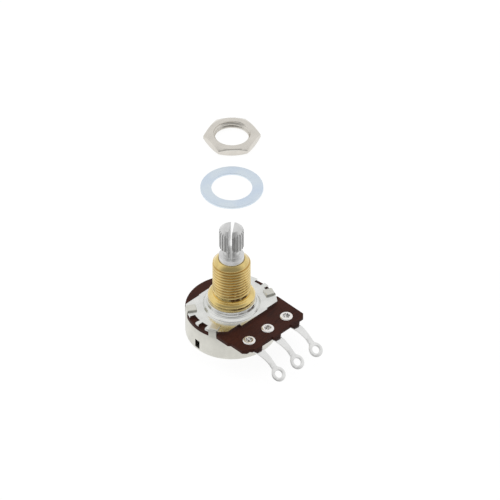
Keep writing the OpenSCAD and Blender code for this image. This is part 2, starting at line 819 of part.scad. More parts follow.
can_cover();
mounting_plate();
threaded_bushing();
terminal_board();
resistive_track();
collector_ring();
terminal_left();
terminal_centre();
terminal_right();
rivet_left();
rivet_centre();
rivet_right();
shaft();
retaining_ring();
thrust_washer();
rotor();
contact_spring();
flat_washer();
hex_nut();
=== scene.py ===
"""Panel-mount rotary potentiometer with its loose washer and nut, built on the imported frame.

Lengths are in metres. Z runs up the shaft, the back of the can is at Z = 0, and the terminals point
towards -Y.
"""

import json
import math

import bmesh
import bpy
from mathutils import Matrix, Vector

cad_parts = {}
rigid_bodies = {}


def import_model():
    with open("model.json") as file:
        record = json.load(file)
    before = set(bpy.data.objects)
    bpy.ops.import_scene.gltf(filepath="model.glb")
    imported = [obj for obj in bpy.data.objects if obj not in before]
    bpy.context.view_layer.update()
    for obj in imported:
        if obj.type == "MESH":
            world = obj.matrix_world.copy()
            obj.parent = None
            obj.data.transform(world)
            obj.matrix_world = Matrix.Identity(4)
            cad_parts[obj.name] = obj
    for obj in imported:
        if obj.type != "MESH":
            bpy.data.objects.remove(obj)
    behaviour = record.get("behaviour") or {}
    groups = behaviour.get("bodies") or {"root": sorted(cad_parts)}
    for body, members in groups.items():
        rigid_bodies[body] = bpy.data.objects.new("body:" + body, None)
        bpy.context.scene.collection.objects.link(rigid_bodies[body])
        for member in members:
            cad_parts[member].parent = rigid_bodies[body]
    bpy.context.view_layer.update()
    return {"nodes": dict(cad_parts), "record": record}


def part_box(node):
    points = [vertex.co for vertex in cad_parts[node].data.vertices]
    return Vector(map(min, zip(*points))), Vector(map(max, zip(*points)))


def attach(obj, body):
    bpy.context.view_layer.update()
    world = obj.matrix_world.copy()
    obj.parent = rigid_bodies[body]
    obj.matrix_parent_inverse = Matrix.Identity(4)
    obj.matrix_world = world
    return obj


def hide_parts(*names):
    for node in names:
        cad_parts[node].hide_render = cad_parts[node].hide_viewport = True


bl_info = {
    "name": "Rotary potentiometer",
    "version": (1, 0, 0),
    "blender": (4, 5, 0),
    "location": "3D View > Sidebar > Potentiometer",
    "description": "Builds the visible pieces of a panel-mount rotary potentiometer",
    "category": "Object",
}

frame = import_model()
NODES = frame["nodes"]
MOUNTS = {m["name"]: m for m in frame["record"]["mounts"]}
MM = 0.001
WELD = 1e-6
DENTED = "dented"
CASE = "case"
SPINDLE = "spindle"


def length(name, millimetres, description):
    """A length property whose default is given in millimetres."""
    return bpy.props.FloatProperty(
        name=name, default=millimetres * MM, min=0.0, unit="LENGTH", precision=5, description=description)


def colour(name, value, description):
    return bpy.props.FloatVectorProperty(
        name=name, default=value, size=3, min=0.0, max=1.0, subtype="COLOR", description=description)


def share(name, value, description):
    return bpy.props.FloatProperty(
        name=name, default=value, min=0.0, max=1.0, subtype="FACTOR", description=description)


def turn(name, degrees, description):
    return bpy.props.FloatProperty(
        name=name, default=math.radians(degrees), subtype="ANGLE", description=description)


def amount(name, value, description):
    return bpy.props.FloatProperty(name=name, default=value, min=0.0, description=description)


def number(name, value, low, high, description):
    return bpy.props.IntProperty(name=name, default=value, min=low, max=high, description=description)


# Settings


class CanLook(bpy.types.PropertyGroup):
    edge: length("Edge round", 0.07, "Radius that is taken off the sheet's cut edges")
    tint: colour("Sheet", (0.73, 0.72, 0.66), "Colour of the drawn nickel silver sheet")
    roughness: share("Roughness", 0.30, "Dullness of the drawn sheet")


class PlateLook(bpy.types.PropertyGroup):
    edge: length("Edge round", 0.09, "Radius that is taken off the stamped edges")
    tint: colour("Plating", (0.82, 0.825, 0.80), "Colour of the plated steel")
    roughness: share("Roughness", 0.19, "Dullness of the plating")


class BushingLook(bpy.types.PropertyGroup):
    bore: length("Bore radius", 3.225, "Radius of the hole that the shaft turns in")
    lip: length("Lip radius", 5.22, "Radius of the lip that is rolled out below the plate")
    lip_height: length("Lip height", 0.4, "Height of the rolled lip")
    spigot: length("Spigot radius", 4.47, "Radius of the spigot in the plate")
    seat: length("Boss top", 11.0, "Height at which the shoulder rests on the plate's boss")
    shoulder: length("Shoulder top", 12.8, "Height of the shoulder's upper face")
    shoulder_slope: length("Shoulder chamfer", 0.6, "Size of the chamfer round the shoulder's top")
    relief: length("Plain part", 1.3, "Length of the plain part between the shoulder and the thread")
    groove: length("Thread depth", 0.42, "Depth of the thread")
    pitch: length("Thread pitch", 0.88, "Rise of the thread in one turn")
    nose: length("Nose radius", 3.5, "Radius of the flat end")
    nose_height: length("Nose height", 1.35, "Height of the chamfered nose")
    tint: colour("Brass", (0.89, 0.68, 0.26), "Colour of the turned brass")
    roughness: share("Roughness", 0.2, "Dullness of the turned brass")
    lacquer: share("Lacquer", 0.8, "Strength of the clear lacquer on the brass")


class BoardLook(bpy.types.PropertyGroup):
    edge: length("Edge round", 0.06, "Radius that is taken off the punched edges")
    tint: colour("Board", (0.034, 0.012, 0.009), "Colour of the phenolic board")
    warm: colour("Warm streaks", (0.080, 0.022, 0.012), "Colour of the paper fibres that show through")
    roughness: share("Roughness", 0.5, "Dullness of the board")


class TerminalLook(bpy.types.PropertyGroup):
    pitch: length("Pitch", 6.5, "Distance from one terminal to the next")
    offset: length("Row offset", 0.4, "Distance that the row lies to the right of the shaft axis")
    rivet_distance: length("Rivet distance", 12.45, "Distance from the shaft axis out to the rivets")
    board_front: length("Board front", 15.4, "Distance from the shaft axis to the board's front edge")
    run: length("Flat run", 0.9, "Length of the flat part beyond the board")
    thickness: length("Thickness", 0.4, "Thickness of the strip")
    pad: length("Pad radius", 1.7, "Radius of the pad round the rivet")
    width: length("Width", 2.2, "Width of the strip at the board")
    neck: length("Neck width", 1.6, "Width of the strip next to its eye")
    bend: length("Bend radius", 7.3, "Radius of the downward bend, on its outer face")
    slope: turn("Slope", 38.0, "Angle that the end slopes down")
    straight: length("Straight part", 2.8, "Length from the bend to the eye's centre")
    eye: length("Eye radius", 1.9, "Outer radius of the eye")
    hole: length("Eye hole radius", 1.0, "Radius of the hole in the eye")
    tint: colour("Plating", (0.86, 0.86, 0.85), "Colour of the bright plating")


class RivetLook(bpy.types.PropertyGroup):
    head: length("Head radius", 1.63, "Radius of the formed head")
    head_height: length("Head height", 0.4, "Height of the formed head")
    shank: length("Shank radius", 0.8, "Radius of the shank")
    foot: length("Foot radius", 1.4, "Radius of the foot below the terminal")
    foot_height: length("Foot height", 0.4, "Height of the foot")
    dents: length("Dents", 0.3, "Depth of the dents that the tool leaves in the head")
    tint: colour("Metal", (0.96, 0.94, 0.91), "Colour of the rivet")


class ShaftLook(bpy.types.PropertyGroup):
    radius: length("Shaft radius", 3.175, "Radius of the plain shaft")
    crest: length("Spline radius", 3.1, "Radius over the splines")
    groove: length("Spline depth", 0.42, "Depth of the grooves between the splines")
    splines: number("Splines", 24, 12, 60, "Number of splines")
    neck: length("Neck radius", 2.15, "Radius of the neck below the splines")
    neck_base: length("Neck base", 25.2, "Height at which the plain shaft ends")
    taper: length("Taper height", 0.25, "Height of the tapers at the neck")
    spline_base: length("Spline base", 27.75, "Height of the middle of the taper below the splines")
    face: length("Face radius", 2.05, "Radius of the flat end")
    chamfer: length("Chamfer height", 0.95, "Height of the chamfer round the flat end")
    slot: length("Slot width", 1.0, "Width of the slot that splits the end")
    slot_turn: turn("Slot angle", 37.5, "Angle of the slot from the X axis")
    tint: colour("Alloy", (0.76, 0.76, 0.755), "Colour of the shaft's alloy")
    roughness: share("Roughness", 0.33, "Dullness of the alloy")


class InsideLook(bpy.types.PropertyGroup):
    bronze: colour("Bronze", (0.72, 0.50, 0.26), "Colour of the contact parts")
    carbon: colour("Carbon", (0.012, 0.012, 0.013), "Colour of the printed track")
    rotor: colour("Rotor", (0.035, 0.022, 0.015), "Colour of the moulded rotor")
    steel: colour("Spring steel", (0.36, 0.37, 0.38), "Colour of the retaining ring")


class LooseLook(bpy.types.PropertyGroup):
    washer_edge: length("Washer edge", 0.14, "Radius of the washer's rolled edges")
    zinc: colour("Zinc", (0.735, 0.84, 0.97), "Colour of the clear blue zinc plating")
    nut_edge: length("Nut edge", 0.05, "Radius that is taken off the nut's corners")
    nut_major: length("Thread radius", 4.78, "Radius at the bottom of the nut's thread")
    nut_minor: length("Bore radius", 4.35, "Radius at the crests of the nut's thread")
    mouth: length("Mouth", 0.35, "Height of the chamfer at each mouth of the bore")
    nickel: colour("Nickel", (0.76, 0.725, 0.665), "Colour of the nickel plating")


class StageLook(bpy.types.PropertyGroup):
    floor: length("Floor size", 6000.0, "Side of the floor")
    azimuth: turn("Azimuth", -44.5, "Direction that the camera looks from")
    elevation: turn("Elevation", 41.05, "Height that the camera looks from")
    distance: length("Distance", 3000.0, "Distance of the camera")
    frame_width: length("View width", 125.0, "Width that the picture takes in")
    aim_right: length("Aim right", 4.6, "Distance of the picture's middle to the right of the can")
    aim_up: length("Aim up", 20.0, "Distance of the picture's middle above the can's back face")
    lamps: amount("Lamps", 1.0, "Strength of the soft lamps")
    fill: amount("Fill", 0.55, "Strength of the light from all round")
    mirrored: share("Mirrored sky", 0.86, "Brightness of the sky where metal mirrors it")
    shade: share("Floor shade", 0.12, "Brightness of the floor on the camera's side where metal mirrors it")
    sky_shade: share("Sky shade", 0.39, "Brightness of the sky on the camera's side where metal mirrors it")
    shade_start: length(
        "Shade start", 17.0, "Distance from the shaft where the mirrored floor starts to darken")
    shade_end: length("Shade end", 27.0, "Distance from the shaft where the mirrored floor is darkest")
    shade_limit: length(
        "Shade limit", 90.0, "Distance from the shaft where the mirrored floor is bright again")


LOOKS = {
    "can_look": CanLook, "plate_look": PlateLook, "bushing_look": BushingLook, "board_look": BoardLook,
    "terminal_look": TerminalLook, "rivet_look": RivetLook, "shaft_look": ShaftLook,
    "inside_look": InsideLook, "loose_look": LooseLook, "stage_look": StageLook,
}


# Node trees


class Wiring:
    """Short calls that add nodes to a tree and join them."""

    def __init__(self, tree):
        self.tree = tree

    def add(self, kind, feeds=(), **settings):
        """A new node with its settings, whose inputs take the feeds by name or in their order."""
        node = self.tree.nodes.new(kind)
        for key, value in settings.items():
            setattr(node, key, value)
        for label, value in feeds.items() if isinstance(feeds, dict) else enumerate(feeds):
            self.put(node.inputs[label], value)
        return node

    def put(self, socket, value):
        """Links a socket to another one, or gives it a value."""
        if isinstance(value, bpy.types.NodeSocket):
            self.tree.links.new(value, socket)
        else:
            socket.default_value = (*value, 1.0) if socket.type == "RGBA" and len(value) == 3 else value

    def math(self, operation, *values, clamp=False):
        return self.add("ShaderNodeMath", values, operation=operation, use_clamp=clamp).outputs[0]

    def times(self, first, second, clamp=False):
        return self.math("MULTIPLY", first, second, clamp=clamp)

    def plus(self, first, second, clamp=False):
        return self.math("ADD", first, second, clamp=clamp)

    def minus(self, first, second, clamp=False):
        return self.math("SUBTRACT", first, second, clamp=clamp)

    def over(self, first, second, clamp=False):
        return self.math("DIVIDE", first, second, clamp=clamp)

    def least(self, first, second):
        return self.math("MINIMUM", first, second)

    def most(self, first, second):
        return self.math("MAXIMUM", first, second)

    def distance(self, x, y):
        return self.math("SQRT", self.plus(self.times(x, x), self.times(y, y)))

    def split(self, vector):
        return self.add("ShaderNodeSeparateXYZ", [vector]).outputs

    def join(self, x, y, z):
        return self.add("ShaderNodeCombineXYZ", (x, y, z)).outputs[0]


class RuleTree(Wiring):
    """A Geometry Nodes tree with inputs named by kind, set on a piece and then made into its plain mesh."""

    def __init__(self, name, **inputs):
        super().__init__(bpy.data.node_groups.new(name, "GeometryNodeTree"))
        face = self.tree.interface
        face.new_socket("Geometry", in_out="INPUT", socket_type="NodeSocketGeometry")
        self.ids = {}
        for kind, labels in dict(inputs, Material=["Material"]).items():
            for label in labels:
                socket = face.new_socket(label, in_out="INPUT", socket_type="NodeSocket" + kind)
                self.ids[label] = socket.identifier
        face.new_socket("Geometry", in_out="OUTPUT", socket_type="NodeSocketGeometry")
        self.entry = self.add("NodeGroupInput")
        self.exit = self.add("NodeGroupOutput")

    def __getitem__(self, label):
        """The named input of the tree, as a socket that its nodes can be joined to."""
        return self.entry.outputs[label]

    def welded(self, geometry):
        return self.add("GeometryNodeMergeByDistance", {"Geometry": geometry, "Distance": WELD}).outputs[0]

    def end(self, geometry):
        """Realizes and paints the result, as the last nodes of the tree."""
        real = self.add("GeometryNodeRealizeInstances", [geometry])
        paint = self.add("GeometryNodeSetMaterial", {
            "Geometry": self.welded(real.outputs[0]), "Material": self["Material"]})
        self.put(self.exit.inputs[0], paint.outputs[0])

    def apply(self, piece, **values):
        rule = piece.modifiers.new("rule", "NODES")
        rule.node_group = self.tree
        for label, value in values.items():
            rule[self.ids[label.replace("_", " ")]] = value
        settle(piece)


def sheet_grid(t, columns, rows):
    """A grid whose X runs from 0 to 1 in its columns and whose Y counts its rows."""
    grid = t.add("GeometryNodeMeshGrid", {
        "Size X": 1.0, "Size Y": 1.0, "Vertices X": t.plus(columns, 1.0), "Vertices Y": t.plus(rows, 1.0)})
    x, y, _ = t.split(t.add("GeometryNodeInputPosition").outputs[0])
    return grid.outputs["Mesh"], t.plus(x, 0.5), t.times(t.plus(y, 0.5), rows)


def wrap(t, mesh, around, radius, height):
    """Rolls a grid up into a tube of the given radius and height."""
    angle = t.times(around, 2 * math.pi)
    place = t.join(t.times(radius, t.math("COSINE", angle)), t.times(radius, t.math("SINE", angle)), height)
    return t.add("GeometryNodeSetPosition", {"Geometry": mesh, "Position": place}).outputs[0]


def joined(t, *parts):
    both = t.add("GeometryNodeJoinGeometry")
    for part in parts:
        t.put(both.inputs[0], part)
    return both.outputs[0]


def wave(t, phase, low, high):
    """A tooth between 0 and 1 for a phase that counts teeth: flat below low, flat above high."""
    rise = t.minus(1.0, t.math("ABSOLUTE", t.minus(t.times(t.math("FRACT", phase), 2.0), 1.0)))
    return t.over(t.minus(rise, low), high - low, clamp=True)


def thread_rule():
    """A screw thread between two plain rings: a grid whose rows climb one pitch in each turn."""
    t = RuleTree("Screw thread", Int=["Segments", "Turns"], Bool=["Inside"], Float=[
        "Root Radius", "Tooth", "Pitch", "Bottom", "Top", "Run Out", "Plain Foot", "Cone Radius",
        "Cone Height", "Cone Slope"])
    rows_a_turn = 8.0
    valley, land = 0.12, 0.74
    bottom, top, pitch = t["Bottom"], t["Top"], t["Pitch"]
    mesh, around, row = sheet_grid(t, t["Segments"], t.times(t["Turns"], rows_a_turn))
    phase = t.over(row, rows_a_turn)
    climb = t.times(t.minus(t.plus(phase, around), 1.0), pitch)
    height = t.least(t.most(t.plus(bottom, climb), bottom), top)
    foot = t.over(t.minus(height, bottom), t["Run Out"], clamp=True)
    head = t.over(t.minus(top, height), t.times(pitch, 0.5), clamp=True)
    plain = t.times(t["Plain Foot"], t.minus(1.0, foot))
    rise = t.plus(t.times(wave(t, phase, valley, land), foot), plain)
    tooth = t.times(t.times(rise, head), t["Tooth"])
    cone = t.plus(t["Cone Radius"], t.times(t.minus(t["Cone Height"], height), t["Cone Slope"]))
    radius = t.least(t.plus(t["Root Radius"], tooth), cone)
    tube = wrap(t, mesh, around, radius, height)
    flip = t.add("GeometryNodeFlipFaces", {"Mesh": tube, "Selection": t["Inside"]})
    t.end(joined(t, t["Geometry"], flip.outputs[0]))
    return t


def spline_rule():
    """The splined end of a shaft, trimmed by a taper and a chamfer and split by a slot."""
    t = RuleTree("Splined end", Int=["Splines"], Float=[
        "Crest Radius", "Groove", "Bottom", "Top", "Neck Radius", "Taper Rise", "Face Radius",
        "Chamfer Rise", "Slot Width", "Slot Turn", "Slot Bottom"])
    rows, columns_a_spline = 56.0, 12.0
    valley, land = 0.06, 0.66
    bottom, top, crest = t["Bottom"], t["Top"], t["Crest Radius"]
    mesh, around, row = sheet_grid(t, t.times(t["Splines"], columns_a_spline), rows)
    height = t.plus(bottom, t.times(t.over(row, rows), t.minus(top, bottom)))
    tooth = wave(t, t.times(around, t["Splines"]), valley, land)
    radius = t.minus(crest, t.times(t["Groove"], t.minus(1.0, tooth)))
    taper = t.plus(t["Neck Radius"], t.over(t.minus(height, bottom), t["Taper Rise"]))
    chamfer = t.plus(t["Face Radius"], t.over(t.minus(top, height), t["Chamfer Rise"]))
    tube = wrap(t, mesh, around, t.least(radius, t.least(taper, chamfer)), height)
    saw = t.add("GeometryNodeMeshCube", {"Size": t.join(t.times(crest, 3.0), t["Slot Width"], top)})
    turned_saw = t.add("GeometryNodeTransform", {
        "Geometry": saw.outputs["Mesh"],
        "Translation": t.join(0.0, 0.0, t.plus(t["Slot Bottom"], t.times(top, 0.5))),
        "Rotation": t.join(0.0, 0.0, t["Slot Turn"])})
    whole = t.welded(joined(t, t["Geometry"], tube))
    cut = t.add("GeometryNodeMeshBoolean", {"Mesh 1": whole, "Mesh 2": turned_saw.outputs[0]},
                operation="DIFFERENCE", solver="EXACT")
    t.end(cut.outputs["Mesh"])
    return t


def bend_rule():
    """Bends a flat strip that runs towards -Y down round an arc, as the terminals are bent."""
    t = RuleTree("Bent strip", Float=["Start", "Radius", "Slope", "Top", "Place"])
    x, y, z = t.split(t.add("GeometryNodeInputPosition").outputs[0])
    radius, slope, top = t["Radius"], t["Slope"], t["Top"]
    beyond = t.minus(t.times(y, -1.0), t["Start"])
    angle = t.least(t.most(t.over(beyond, radius), 0.0), slope)
    rest = t.most(t.minus(beyond, t.times(radius, slope)), 0.0)
    arm = t.plus(radius, t.minus(z, top))
    out = t.plus(t.times(arm, t.math("SINE", angle)), t.times(rest, t.math("COSINE", angle)))
    out = t.plus(out, t.plus(t["Start"], t.least(beyond, 0.0)))
    drop = t.minus(t.times(arm, t.math("COSINE", angle)), t.times(rest, t.math("SINE", angle)))
    place = t.join(t.plus(x, t["Place"]), t.times(out, -1.0), t.plus(t.minus(top, radius), drop))
    t.end(t.add("GeometryNodeSetPosition", {"Geometry": t["Geometry"], "Position": place}).outputs[0])
    return t


def rivet_rule():
    """Sets a turned rivet in its place and dents the middle of its head with seeded noise."""
    t = RuleTree("Formed rivet", Vector=["Place"], Float=["Head Base", "Dent Radius", "Dents", "Seed"])
    position = t.add("GeometryNodeInputPosition").outputs[0]
    x, y, z = t.split(position)
    middle = t.minus(1.0, t.math("POWER", t.over(t.distance(x, y), t["Dent Radius"]), 3.0), clamp=True)
    dented = t.times(middle, t.math("GREATER_THAN", z, t["Head Base"]))
    noise = t.add("ShaderNodeTexNoise", {
        "Vector": position, "W": t["Seed"], "Scale": 2600.0, "Detail": 1.0}, noise_dimensions="4D")
    lift = t.times(t.times(t.minus(noise.outputs[0], 0.5), t["Dents"]), dented)
    store = t.add("GeometryNodeStoreNamedAttribute", {
        "Geometry": t["Geometry"], "Name": DENTED, "Value": dented}, data_type="FLOAT", domain="POINT")
    shape = t.add("GeometryNodeSetPosition", {
        "Geometry": store.outputs[0], "Offset": t.join(0.0, 0.0, lift)})
    t.end(t.add("GeometryNodeTransform", {
        "Geometry": shape.outputs[0], "Translation": t["Place"]}).outputs[0])
    return t


# Meshes


def piece_of(name, data):
    """A new object in the scene, from a mesh, a curve, a lamp or a camera."""
    piece = bpy.data.objects.new(name, data)
    bpy.context.scene.collection.objects.link(piece)
    return piece


def settle(piece):
    """Turns what the modifiers make into the piece's own plain mesh, and takes the modifiers off."""
    graph = bpy.context.evaluated_depsgraph_get()
    made = bpy.data.meshes.new_from_object(piece.evaluated_get(graph), depsgraph=graph)
    piece.modifiers.clear()
    made.name = piece.name
    piece.data = made


def crisp(piece, degrees):
    """Smooth shading that breaks at the edges sharper than this angle."""
    piece.data.shade_smooth()
    piece.data.set_sharp_from_angle(angle=math.radians(degrees))


def dress(piece, material, body, slot, *nodes):
    """Paints a finished piece, sets it on its body and puts it in the place of its solids."""
    piece.data.materials.clear()
    piece.data.materials.append(material)
    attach(piece, body)
    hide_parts(*nodes)


def arc(x, y, radius, start, end, steps):
    """Points along an arc, its two ends among them."""
    angles = [start + (end - start) * k / steps for k in range(steps + 1)]
    return [(x + radius * math.cos(a), y + radius * math.sin(a)) for a in angles]


def circle(radius, count, x=0.0, y=0.0):
    return arc(x, y, radius, 0.0, 2 * math.pi, count)[:-1]


def turned(profile, segments, closed=False):
    """The mesh of a profile of (radius, height) points turned round Z. A closed profile is a ring."""
    bm = bmesh.new()
    rings = []
    for radius, height in profile:
        points = circle(radius, segments) if radius else [(0.0, 0.0)]
        rings.append([bm.verts.new((x, y, height)) for x, y in points])
    pairs = list(zip(rings, rings[1:]))
    if closed:
        pairs.append((rings[-1], rings[0]))
    for low, high in pairs:
        for i in range(segments):
            j = (i + 1) % segments
            corners = [low[i % len(low)], low[j % len(low)], high[j % len(high)], high[i % len(high)]]
            bm.faces.new(list(dict.fromkeys(corners)))
    bmesh.ops.recalc_face_normals(bm, faces=bm.faces)
    mesh = bpy.data.meshes.new("turned")
    bm.to_mesh(mesh)
    bm.free()
    return mesh


def rounded(profile, radius):
    """The same closed profile with each corner rounded by an arc of up to this radius."""
    steps, reach = 4, 0.45
    result = []
    count = len(profile)
    for i, point in enumerate(profile):
        here = Vector(point)
        back, on = Vector(profile[i - 1]) - here, Vector(profile[(i + 1) % count]) - here
        cut = min(radius / math.tan(back.angle(on) / 2), reach * back.length, reach * on.length)
        start, end = here + back.normalized() * cut, here + on.normalized() * cut
        for k in range(steps + 1):
            s = k / steps
            result.append(tuple((1 - s) ** 2 * start + 2 * s * (1 - s) * here + s ** 2 * end))
    return result


def eased_copy(name, node, width):
    """A welded copy of a solid's mesh with its edges rounded and its flats shaded flat."""
    flat, sharp = math.radians(0.5), math.radians(28.0)
    bm = bmesh.new()
    bm.from_mesh(NODES[node].data)
    bmesh.ops.remove_doubles(bm, verts=bm.verts, dist=WELD)
    bmesh.ops.dissolve_limit(bm, angle_limit=flat, verts=bm.verts, edges=bm.edges)
    bmesh.ops.triangulate(bm, faces=[f for f in bm.faces if len(f.verts) > 4])
    bmesh.ops.recalc_face_normals(bm, faces=bm.faces)
    mesh = bpy.data.meshes.new(name)
    bm.to_mesh(mesh)
    bm.free()
    piece = piece_of(name, mesh)
    ease = piece.modifiers.new("ease", "BEVEL")
    ease.width = width
    ease.segments = 2
    ease.limit_method = "ANGLE"
    ease.angle_limit = sharp
    ease.use_clamp_overlap = True
    settle(piece)
    piece.data.shade_smooth()
    weigh = piece.modifiers.new("weigh", "WEIGHTED_NORMAL")
    weigh.weight = 100
    settle(piece)
    return piece


# Finishes


class Finish(Wiring):
    """A procedural material on object coordinates, around one Principled shader."""

    def __init__(self, name, metallic):
        material = bpy.data.materials.new(name)
        material.use_nodes = True
        super().__init__(material.node_tree)
        self.material = material
        self.shader = self.tree.nodes["Principled BSDF"]
        self.give("Metallic", metallic)
        self.place = self.add("ShaderNodeTexCoord").outputs["Object"]

    def give(self, label, value):
        """Links or sets one of the shader's own inputs."""
        self.put(self.shader.inputs[label], value)

    def stretched(self, x, y, z):
        return self.add("ShaderNodeMapping", {"Vector": self.place, "Scale": (x, y, z)}).outputs[0]

    def noise(self, vector, scale, detail=3.0, rough=0.55):
        feeds = {"Vector": vector, "Scale": scale, "Detail": detail, "Roughness": rough}
        return self.add("ShaderNodeTexNoise", feeds).outputs["Fac"]

    def ramp(self, factor, low, high):
        """A value that goes from 0 to 1 as the factor goes from low to high."""
        feeds = {"Value": factor, "From Min": low, "From Max": high}
        return self.add("ShaderNodeMapRange", feeds).outputs[0]

    def between(self, factor, first, second):
        """The first colour, turning into the second as the factor goes from 0 to 1."""
        feeds = {"Factor": factor, "A": first, "B": second}
        return self.add("ShaderNodeMix", feeds, data_type="RGBA").outputs["Result"]

    def spread(self, factor, middle, amount):
        """A value that swings by amount round the middle as the factor goes from 0 to 1."""
        return self.plus(self.times(self.minus(factor, 0.5), 2 * amount), middle)

    def bump(self, height, strength, depth):
        node = self.add("ShaderNodeBump", {"Strength": strength, "Distance": depth, "Height": height})
        self.give("Normal", node.outputs[0])


def darker(tint, factor):
    return tuple(min(1.0, c * factor) for c in tint)


def rolled_metal(name, tint, roughness, grain=(60.0, 2500.0, 2500.0), wear=0.08):
    """Sheet metal: fine rolling lines, a faint cloudiness and small scuffs."""
    f = Finish(name, 1.0)
    cloud = f.noise(f.place, 260.0)
    lines = f.noise(f.stretched(*grain), 1.0, 4.0, 0.7)
    scuffs = f.ramp(f.noise(f.stretched(900.0, 350.0, 900.0), 1.0, 5.0, 0.75), 0.58, 0.72)
    base = f.between(f.ramp(cloud, 0.35, 0.65), darker(tint, 1 - wear), darker(tint, 1 + wear * 0.6))
    f.give("Base Color", f.between(f.times(scuffs, 0.35), base, darker(tint, 0.8)))
    f.give("Roughness", f.plus(f.spread(lines, roughness, 0.10), f.times(scuffs, 0.10), clamp=True))
    f.bump(lines, 0.12, 0.00003)
    return f.material


def turned_metal(name, tint, roughness, axis=(0.0, 0.0), shade=0.82, lacquer=0.0, thread=None):
    """Turned metal: fine rings from the tool, with a faint tarnish and a clear lacquer.

    A thread, given as its root, its crest, its foot and its top, gets painted shade in its grooves.
    """
    f = Finish(name, 1.0)
    f.give("Coat Weight", lacquer)
    f.give("Coat Roughness", 0.12)
    centred = f.add("ShaderNodeMapping", {"Vector": f.place, "Location": (-axis[0], -axis[1], 0.0)})
    x, y, z = f.split(centred.outputs[0])
    spread = f.distance(x, y)
    rings = f.noise(f.join(0.0, spread, z), 5200.0, 2.0, 0.6)
    tarnish = f.noise(f.place, 420.0, 4.0)
    base = f.between(f.ramp(tarnish, 0.38, 0.68), tint, darker(tint, shade))
    if thread:
        root, crest, foot, top = thread
        # Painted shade: the thread's grooves turn a darker, deeper brown in place of the shade between the
        # flanks.
        deep = f.ramp(spread, crest - 0.05 * MM, root + 0.1 * MM)
        above_foot = f.ramp(z, foot, foot + 0.5 * MM)
        below_top = f.ramp(z, top - 0.1 * MM, top - 0.4 * MM)
        grooves = f.times(f.times(deep, above_foot), below_top)
        base = f.between(grooves, base, (tint[0] * 0.58, tint[1] * 0.42, tint[2] * 0.18))
    f.give("Base Color", base)
    stains = f.times(f.ramp(tarnish, 0.5, 0.8), 0.12)
    f.give("Roughness", f.plus(f.spread(rings, roughness, 0.08), stains, clamp=True))
    f.bump(rings, 0.15, 0.00002)
    return f.material


def formed_metal(name, tint):
    """Bright metal whose dented middle is rough and spotted with dark marks."""
    f = Finish(name, 1.0)
    dented = f.add("ShaderNodeAttribute", attribute_name=DENTED).outputs["Fac"]
    marks = f.ramp(f.noise(f.place, 2600.0, 2.0, 0.6), 0.44, 0.54)
    mask = f.times(f.ramp(dented, 0.0, 0.4), marks)
    f.give("Base Color", f.between(mask, tint, darker(tint, 0.16)))
    f.give("Roughness", f.plus(f.times(dented, 0.3), 0.26))
    return f.material


def phenolic(name, tint, warm, roughness):
    """Phenolic paper board: dark resin with thin fibres that run one way and a soft gloss."""
    f = Finish(name, 0.0)
    fibres = f.noise(f.stretched(350.0, 2600.0, 2600.0), 1.0, 5.0, 0.7)
    clouds = f.noise(f.place, 190.0, 3.0)
    mixed = f.between(f.ramp(fibres, 0.42, 0.72), tint, warm)
    f.give("Base Color", f.between(f.times(f.ramp(clouds, 0.35, 0.7), 0.6), mixed, warm))
    f.give("Roughness", f.spread(fibres, roughness, 0.12))
    f.give("Specular IOR Level", 0.12)
    f.bump(fibres, 0.25, 0.00004)
    return f.material


def moulded(name, tint, roughness, grain=1800.0):
    """Dull moulded or printed surface with a fine grain."""
    f = Finish(name, 0.0)
    speck = f.noise(f.place, grain, 3.0)
    f.give("Base Color", f.between(speck, darker(tint, 0.8), darker(tint, 1.35)))
    f.give("Roughness", f.spread(speck, roughness, 0.1))
    f.bump(speck, 0.2, 0.00003)
    return f.material


def zinc_plate(name, tint):
    """Clear blue zinc plating: pale blue with a faint yellow cast and a fine grain."""
    f = Finish(name, 1.0)
    cast = f.noise(f.place, 170.0, 2.0)
    grain = f.noise(f.place, 3800.0, 4.0, 0.7)
    yellowed = (tint[0] * 1.04, tint[1] * 1.01, tint[2] * 0.95)
    cool = f.between(f.ramp(cast, 0.35, 0.6), darker(tint, 0.95), yellowed)
    f.give("Base Color", f.between(f.times(f.ramp(grain, 0.45, 0.75), 0.3), cool, darker(tint, 0.85)))
    f.give("Roughness", f.spread(grain, 0.42, 0.12))
    f.bump(grain, 0.22, 0.00003)
    return f.material


# Pieces


class POT_OT_can(bpy.types.Operator):
    """Builds the drawn can with its four folded tabs and its stop flap"""
    bl_idname = "pot.can"
    bl_label = "Can"

    def execute(self, context):
        look = context.scene.can_look
        can = eased_copy("can_shell", "can_cover", look.edge)
        steel = rolled_metal("drawn_nickel_silver", look.tint, look.roughness, grain=(1600.0, 1600.0, 90.0))
        dress(can, steel, CASE, "can_sheet", "can_cover")
        return {"FINISHED"}


class POT_OT_plate(bpy.types.Operator):
    """Builds the stamped mounting plate with its notched sides and raised boss"""
    bl_idname = "pot.plate"
    bl_label = "Mounting plate"

    def execute(self, context):
        look = context.scene.plate_look
        plate = eased_copy("stamped_plate", "mounting_plate", look.edge)
        steel = rolled_metal("plated_steel", look.tint, look.roughness)
        dress(plate, steel, CASE, "plate_sheet", "mounting_plate")
        return {"FINISHED"}


